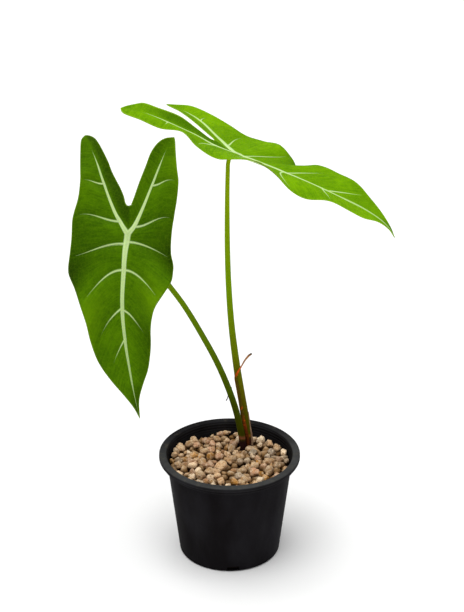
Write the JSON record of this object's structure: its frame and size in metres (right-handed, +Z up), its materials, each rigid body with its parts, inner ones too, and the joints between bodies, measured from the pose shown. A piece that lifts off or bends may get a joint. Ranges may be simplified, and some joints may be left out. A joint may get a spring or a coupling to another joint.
{
  "type": "potted alocasia longiloba",
  "caption": "Young arrow-leaved aroid in a black plastic nursery pot dressed with pumice gravel; decorative house plant that stands on its flat pot base",
  "frame": {"origin": "centre of the pot's underside", "axes": "+Z up along the pot's axis, -Y toward the viewer of the picture, +X to the viewer's right"},
  "size_m": [0.2728, 0.2019, 0.4235],
  "materials": {
    "pot_plastic": "moulded black plastic with a low sheen",
    "soil": "dark crumbly potting mix, matte",
    "pumice": "rough tan pumice, some orange and grey stones",
    "corm_skin": "fibrous dark brown skin",
    "stalk_green": "smooth plant stalk, satin, reddish at the foot",
    "leaf_green": "satin leaf with pale raised veins",
    "dry_sheath_skin": "dry reddish-brown leaf sheath",
    "papery_skin": "dry beige papery membrane"
  },
  "bodies": {
    "root": {"pot": "pot_plastic", "potting_mix": "soil", "gravel": "pumice", "corm": "corm_skin", "tall_petiole": "stalk_green", "front_petiole": "stalk_green", "tall_blade": "leaf_green", "front_blade": "leaf_green", "dry_sheath": "dry_sheath_skin", "dry_membrane": "papery_skin"}
  },
  "joints": []
}
